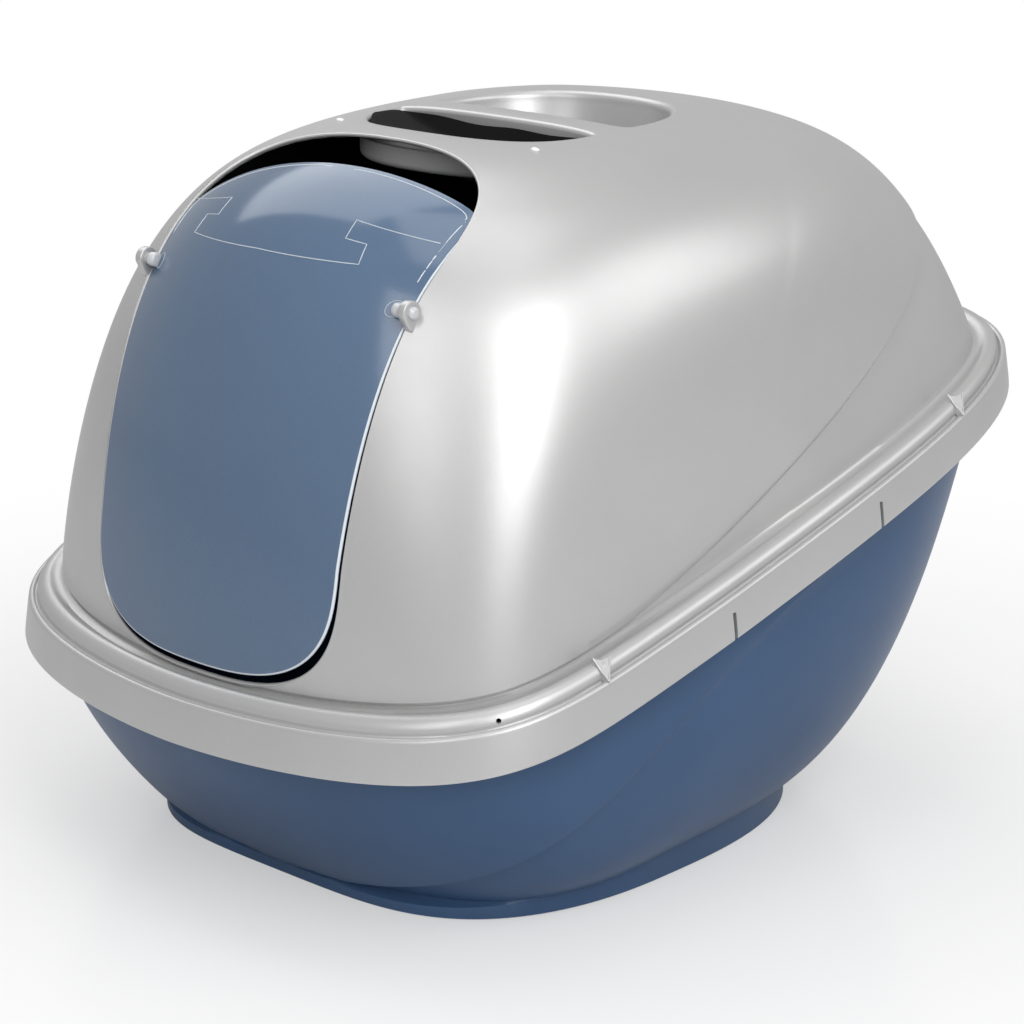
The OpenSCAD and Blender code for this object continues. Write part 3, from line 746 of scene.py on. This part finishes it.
def make_filter():
    """Felt filter: a dished pad whose edge turns up, most of all at the bar, with one corner curled."""
    low = COLLAR_Z + TRAY_LAP - TRAY_H + TRAY_WALL
    shares = np.r_[0.05, np.linspace(0.15, 0.9, 12), 0.94, 0.97, 1.0]
    centre = np.array([0, BAR_FRONT - RECESS_OFF])
    rows = []
    for share in shares:
        edge = d_outline(RECESS_W - 1.5, RECESS_L - RECESS_OFF - 1.5, RECESS_OFF - 1)
        ring = edge * share * (1, -1) + centre
        lift = 8.5 * share ** 2 + 4.5 * share ** 3 * smooth(ring[:, 1], BAR_FRONT - 30, BAR_FRONT - 6)
        wave = 0.5 * np.sin(ring[:, 0] / 9.0) * share
        curl = np.exp(-(((ring[:, 0] + 68) / 30) ** 2 + ((ring[:, 1] + 36) / 26) ** 2))
        rows.append(np.column_stack([ring, low + 3 + lift + wave + 10 * curl * share ** 4]))
    top = np.array(rows)
    under = top[::-1] - (0, 0, 2.4)
    pad = loft("filter_pad", np.concatenate([top, under]), top[0].mean(axis=0), under[-1].mean(axis=0))
    set_smooth(pad, 50)
    return pad


# Materials

def new_group(name, sockets_in, sockets_out):
    """A node group with its inputs, as (name, kind, value), and its outputs, as (name, kind)."""
    group = bpy.data.node_groups.new(name, "ShaderNodeTree")
    for socket, kind, value in sockets_in:
        item = group.interface.new_socket(socket, in_out="INPUT", socket_type="NodeSocket" + kind)
        item.default_value = value
    for socket, kind in sockets_out:
        group.interface.new_socket(socket, in_out="OUTPUT", socket_type="NodeSocket" + kind)
    return group


def add(tree, kind, links=(), **values):
    """A node with its inputs set, or linked where a value is a socket."""
    node = tree.nodes.new("ShaderNode" + kind)
    for key, value in values.items():
        setattr(node, key, value)
    for socket, value in dict(links).items():
        if isinstance(value, bpy.types.NodeSocket):
            tree.links.new(value, node.inputs[socket])
        else:
            node.inputs[socket].default_value = value
    return node


def mix_colours(tree, share, first, second):
    """A colour between two, by the second one's share. A Mix node has its colours at 6 and 7."""
    return add(tree, "Mix", {0: share, 6: first, 7: second}, data_type="RGBA").outputs[2]


def moulded_group():
    """Moulded plastic over object coordinates: grain in the height, soft clouds in colour and gloss, and a
    painted highlight on sharp convex edges.
    """
    group = new_group("moulded_plastic",
                      [("Colour", "Color", (0.5, 0.5, 0.5, 1)),
                       ("Cloud colour", "Color", (0.4, 0.4, 0.4, 1)),
                       ("Edge colour", "Color", (0.8, 0.8, 0.8, 1)),
                       ("Roughness", "Float", 0.4),
                       ("Grain size", "Float", 1500.0),
                       ("Grain depth", "Float", 0.1)],
                      [("Colour", "Color"), ("Roughness", "Float"), ("Normal", "Vector")])
    into, out = group.nodes.new("NodeGroupInput"), group.nodes.new("NodeGroupOutput")
    given = into.outputs
    where = add(group, "TexCoord").outputs["Object"]
    grain = add(group, "TexNoise", {"Vector": where, "Scale": given["Grain size"], "Detail": 3.0})
    cloud = add(group, "TexNoise", {"Vector": where, "Scale": 9.0, "Detail": 4.0, "Roughness": 0.6})
    fleck = add(group, "TexNoise", {"Vector": where, "Scale": 4200.0, "Detail": 1.0})
    edge = add(group, "NewGeometry").outputs["Pointiness"]
    cloud_share = add(group, "MapRange", {"Value": cloud.outputs["Fac"], "From Min": 0.35, "From Max": 0.7})
    fleck_share = add(group, "MapRange", {"Value": fleck.outputs["Fac"], "From Min": 0.45, "From Max": 0.75,
                                          "To Max": 0.22})
    # Sharp convex edges turn towards the third colour: a painted highlight
    edge_highlight_share = add(group, "MapRange", {"Value": edge, "From Min": 0.53, "From Max": 0.62, "To Max": 0.35})
    clouded = mix_colours(group, cloud_share.outputs["Result"], given["Colour"], given["Cloud colour"])
    flecked = mix_colours(group, fleck_share.outputs["Result"], clouded, given["Edge colour"])
    edge_highlighted = mix_colours(group, edge_highlight_share.outputs["Result"], flecked, given["Edge colour"])
    uneven = add(group, "MapRange", {"Value": cloud.outputs["Fac"], "From Min": 0.3, "From Max": 0.7,
                                     "To Min": -0.03, "To Max": 0.03})
    rough = add(group, "Math", {0: given["Roughness"], 1: uneven.outputs["Result"]}, operation="ADD")
    bump = add(group, "Bump", {"Height": grain.outputs["Fac"], "Strength": given["Grain depth"],
                               "Distance": 0.0003})
    group.links.new(edge_highlighted, out.inputs["Colour"])
    group.links.new(rough.outputs[0], out.inputs["Roughness"])
    group.links.new(bump.outputs["Normal"], out.inputs["Normal"])
    return group


def moulded(name, colours, roughness, group, grain=1500.0, depth=0.1, **surface):
    """A plastic material that takes its colour, gloss and grain from the group.

    The colours are the plain one, the one in the clouds, and the one in the flecks and in the painted
    highlight on sharp convex edges.
    """
    material = bpy.data.materials.new(name)
    material.use_nodes = True
    tree = material.node_tree
    tree.nodes.clear()
    effect = tree.nodes.new("ShaderNodeGroup")
    effect.node_tree = group
    for socket, colour in zip(("Colour", "Cloud colour", "Edge colour"), colours):
        effect.inputs[socket].default_value = (*colour, 1)
    for socket, value in (("Roughness", roughness), ("Grain size", grain), ("Grain depth", depth)):
        effect.inputs[socket].default_value = value
    shader = add(tree, "BsdfPrincipled", {"Base Color": effect.outputs["Colour"],
                                          "Roughness": effect.outputs["Roughness"],
                                          "Normal": effect.outputs["Normal"]})
    for socket, value in surface.items():
        shader.inputs[socket.replace("_", " ")].default_value = value
    out = tree.nodes.new("ShaderNodeOutputMaterial")
    tree.links.new(shader.outputs[0], out.inputs["Surface"])
    return material


def paint(obj, *materials):
    """Gives an object these materials in place of its own."""
    obj.data.materials.clear()
    for material in materials:
        obj.data.materials.append(material)


def paint_inner_shade(hood):
    """Gives the hood's inner face its second material, a near-black painted shade, but for the wells' walls
    and the rim.
    """
    inner = surface_tree(HOOD_WALL)
    wells_low, wells_wide, wells_front, wells_back = 366, 84, -76, 116
    for face in hood.data.polygons:
        p = np.array(face.center) / MM
        near = inner.find_nearest(Vector(p))[3]
        wells = p[2] > wells_low and abs(p[0]) < wells_wide and wells_front < p[1] < wells_back
        rim = p[2] < rim_h(p[1]) + DOME_LIFT
        if near < 0.35 and not wells and not rim:
            face.material_index = 1


def greys(*values):
    """Neutral colours of the given brightness."""
    return [(value, value, value) for value in values]


def dress():
    """All the materials, in the order in which the main part names them."""
    group = moulded_group()
    silver = moulded("pearl_silver_plastic", [(0.46, 0.46, 0.458), *greys(0.43, 0.62)], 0.36, group,
                     grain=2200.0, depth=0.12, Metallic=0.55, Coat_Weight=0.12, Coat_Roughness=0.3)
    # The hood's inner face: the same silver plastic, painted near-black as painted shade
    inside = moulded("hood_inner_painted_shade", [(0.012, 0.012, 0.013), *greys(0.02, 0.03)], 0.6, group)
    blue = moulded("satin_blue_plastic", [(0.036, 0.077, 0.158), (0.033, 0.070, 0.144), (0.08, 0.14, 0.25)],
                   0.36, group, grain=1800.0, depth=0.15, Specular_IOR_Level=0.25)
    smoke = moulded("smoked_blue_plastic", [(0.086, 0.148, 0.25), (0.08, 0.139, 0.236), (0.3, 0.36, 0.44)],
                    0.13, group, grain=400.0, depth=0.02, Transmission_Weight=0.25, IOR=1.49,
                    Specular_IOR_Level=0.7)
    line = moulded("etched_plastic", [(0.45, 0.5, 0.56), (0.4, 0.45, 0.5), (0.7, 0.72, 0.75)], 0.4, group)
    # The flap's own rounded edge in smoked plastic, painted pale: a painted highlight
    rim = moulded("flap_edge_painted_highlight", [(0.55, 0.6, 0.66), (0.5, 0.55, 0.6), (0.9, 0.9, 0.9)], 0.25, group)
    clear = moulded("clear_plastic", [(0.8, 0.82, 0.84), (0.75, 0.77, 0.8), (0.95, 0.95, 0.95)], 0.12, group,
                    depth=0.03, Transmission_Weight=0.5, IOR=1.49)
    white = moulded("white_nub_plastic", greys(0.85, 0.8, 0.95), 0.3, group)
    grey = moulded("grey_plastic", greys(0.46, 0.42, 0.55), 0.45, group)
    felt = moulded("black_carbon_felt", [(0.004, 0.004, 0.0045), (0.008, 0.008, 0.009), (0.02, 0.02, 0.02)],
                   0.9, group, grain=900.0, depth=0.8, Specular_IOR_Level=0.2)
    return silver, inside, blue, smoke, line, rim, clear, white, grey, felt


# Stage, in metres

LIGHT_AIM = (0, 0, 0.2)
# Distances from the origin between which the floor turns white for the camera, and the world's light
FADE_FROM, FADE_TO, WORLD_LIGHT = 0.1, 0.85, 0.56
CAMERA_PLACE, CAMERA_LENS = (1.20001, -1.25966, 0.67914), 105.69
# Directions from the camera's picture: back towards the viewer, and to the right
CAMERA_BACK, CAMERA_RIGHT = (0.6599, -0.6982, 0.2778), (0.7268, 0.6869, 0)


def area_light(name, power, size, azimuth, elevation, distance):
    """A soft box seen from the object's middle at an azimuth and an elevation, in degrees."""
    a, e = math.radians(azimuth), math.radians(elevation)
    direction = Vector((math.sin(a) * math.cos(e), -math.cos(a) * math.cos(e), math.sin(e)))
    light = bpy.data.lights.new(name, "AREA")
    light.shape, light.energy = "RECTANGLE", power
    light.size, light.size_y = size
    obj = bpy.data.objects.new(name, light)
    bpy.context.scene.collection.objects.link(obj)
    obj.location = Vector(LIGHT_AIM) + direction * distance
    obj.rotation_euler = direction.to_track_quat("Z", "Y").to_euler()


def stage():
    """A pale floor that turns white away from the object, a white world and five soft boxes."""
    bpy.ops.mesh.primitive_plane_add(size=14, location=(0, 0, -0.0003))
    floor = bpy.context.active_object
    floor.name = "studio_floor"
    material = bpy.data.materials.new("pale_floor")
    material.use_nodes = True
    tree = material.node_tree
    shader = tree.nodes["Principled BSDF"]
    shader.inputs["Base Color"].default_value = (0.72, 0.72, 0.725, 1)
    shader.inputs["Roughness"].default_value = 0.2
    where = add(tree, "TexCoord").outputs["Object"]
    away = add(tree, "VectorMath", {0: where}, operation="LENGTH").outputs["Value"]
    fade = add(tree, "MapRange", {"Value": away, "From Min": FADE_FROM, "From Max": FADE_TO, "To Min": 0.4},
               interpolation_type="SMOOTHSTEP")
    # Only the camera sees the floor turn white, the object reflects the floor as it is
    seen = add(tree, "LightPath").outputs["Is Camera Ray"]
    share = add(tree, "Math", {0: fade.outputs["Result"], 1: seen}, operation="MULTIPLY")
    white = add(tree, "Emission", {"Color": (1, 1, 1, 1), "Strength": 1.0})
    mix = add(tree, "MixShader", {0: share.outputs[0], 1: shader.outputs[0], 2: white.outputs[0]})
    tree.links.new(mix.outputs[0], tree.nodes["Material Output"].inputs["Surface"])
    paint(floor, material)
    bpy.context.scene.view_settings.view_transform = "Standard"
    world = bpy.data.worlds.new("studio")
    bpy.context.scene.world = world
    world.use_nodes = True
    back = world.node_tree.nodes["Background"]
    seen = add(world.node_tree, "LightPath").outputs["Is Camera Ray"]
    bright = add(world.node_tree, "MapRange", {"Value": seen, "To Min": WORLD_LIGHT})
    back.inputs["Color"].default_value = (1, 1, 1, 1)
    world.node_tree.links.new(bright.outputs["Result"], back.inputs["Strength"])
    area_light("key", power=28, size=(1.0, 1.8), azimuth=63, elevation=32, distance=2.2)
    area_light("front_box", power=8, size=(0.6, 1.6), azimuth=14, elevation=34, distance=2.2)
    area_light("top_box", power=6, size=(1.1, 1.1), azimuth=40, elevation=84, distance=2.2)
    area_light("right_box", power=12, size=(1.4, 1.4), azimuth=114, elevation=42, distance=2.6)
    area_light("left_box", power=17, size=(1.5, 1.9), azimuth=-102, elevation=55, distance=2.4)


def camera():
    """The camera, at the photograph's angle."""
    data = bpy.data.cameras.new("camera")
    data.sensor_width, data.lens = 36, CAMERA_LENS
    data.clip_start, data.clip_end = 0.05, 60
    obj = bpy.data.objects.new("camera", data)
    bpy.context.scene.collection.objects.link(obj)
    back, right = Vector(CAMERA_BACK), Vector(CAMERA_RIGHT)
    turn = Matrix((right, back.cross(right), back)).transposed().to_4x4()
    obj.matrix_world = Matrix.Translation(CAMERA_PLACE) @ turn
    bpy.context.scene.camera = obj


# The object

silver, inside, blue, smoke, line, rim, clear, white, grey, felt = dress()

pan = make_pan()
paint(pan, blue)
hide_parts("litter_pan")
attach(pan, "pan")

hood, nubs = make_hood()
paint(hood, silver, inside)
paint_inner_shade(hood)
paint(nubs, white)
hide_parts("hood")
for piece in (hood, nubs):
    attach(piece, "hood")

flap, flap_edge, lines, eyes = make_flap()
paint(flap, smoke)
paint(eyes, clear)
paint(flap_edge, rim)
paint(lines, line)
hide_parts("flap_door")
for piece in (flap, flap_edge, lines, eyes):
    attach(piece, "flap")

pad = make_filter()
paint(pad, felt)
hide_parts("carbon_filter")
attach(pad, "filter")

tray = make_tray()
paint(tray, grey)
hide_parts("filter_tray")
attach(tray, "filter")

for node_name, obj in frame["nodes"].items():
    if node_name.startswith("hinge_pin"):
        paint(obj, clear)

stage()
camera()
